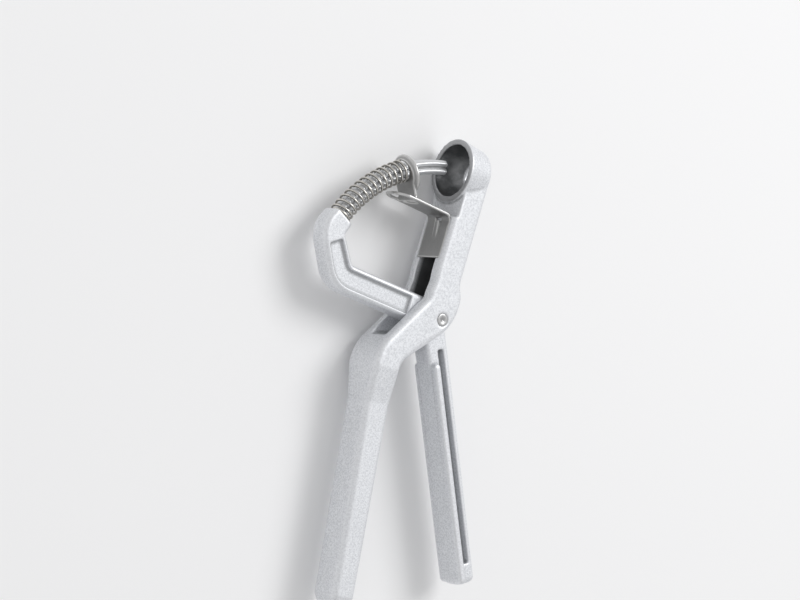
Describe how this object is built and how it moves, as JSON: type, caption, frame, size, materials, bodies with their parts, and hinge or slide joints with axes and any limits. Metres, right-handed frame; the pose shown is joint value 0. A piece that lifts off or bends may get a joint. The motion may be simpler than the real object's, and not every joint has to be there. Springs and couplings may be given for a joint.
{
  "type": "olive pitter",
  "caption": "Hand-held olive pitter: two crossed cast levers on a pivot pin, an open cup, a curved plunger with a coil spring and a sheet stripper.",
  "frame": {"origin": "pivot axis, on the lower side face of the cup lever's fork", "axes": "+Z along the pivot axis; +Y towards the cup end; +X from the hook towards the cup"},
  "size_m": [0.0772, 0.1758, 0.025],
  "materials": {
    "cast": "fine speckled silver coat on die casting",
    "plunger": "smooth bright casting",
    "pin": "satin",
    "sheet": "pressed stainless sheet",
    "spring": "drawn bright wire"
  },
  "bodies": {
    "cup_side": {"cup_lever": "cast", "pivot_pin": "pin", "stripper": "sheet"},
    "plunger_side": {"plunger_lever": "cast", "plunger": "plunger", "spring": "spring"}
  },
  "joints": [
    {"name": "lever_pivot", "type": "hinge", "parent": "cup_side", "child": "plunger_side", "pos_m": [0, 0, 0.0095], "axis": [0, 0, -1], "range_deg": [-19, 20], "stiffness_Nm_per_rad": 0.25, "springref_deg": -22.92, "deforming": ["spring"]}
  ]
}
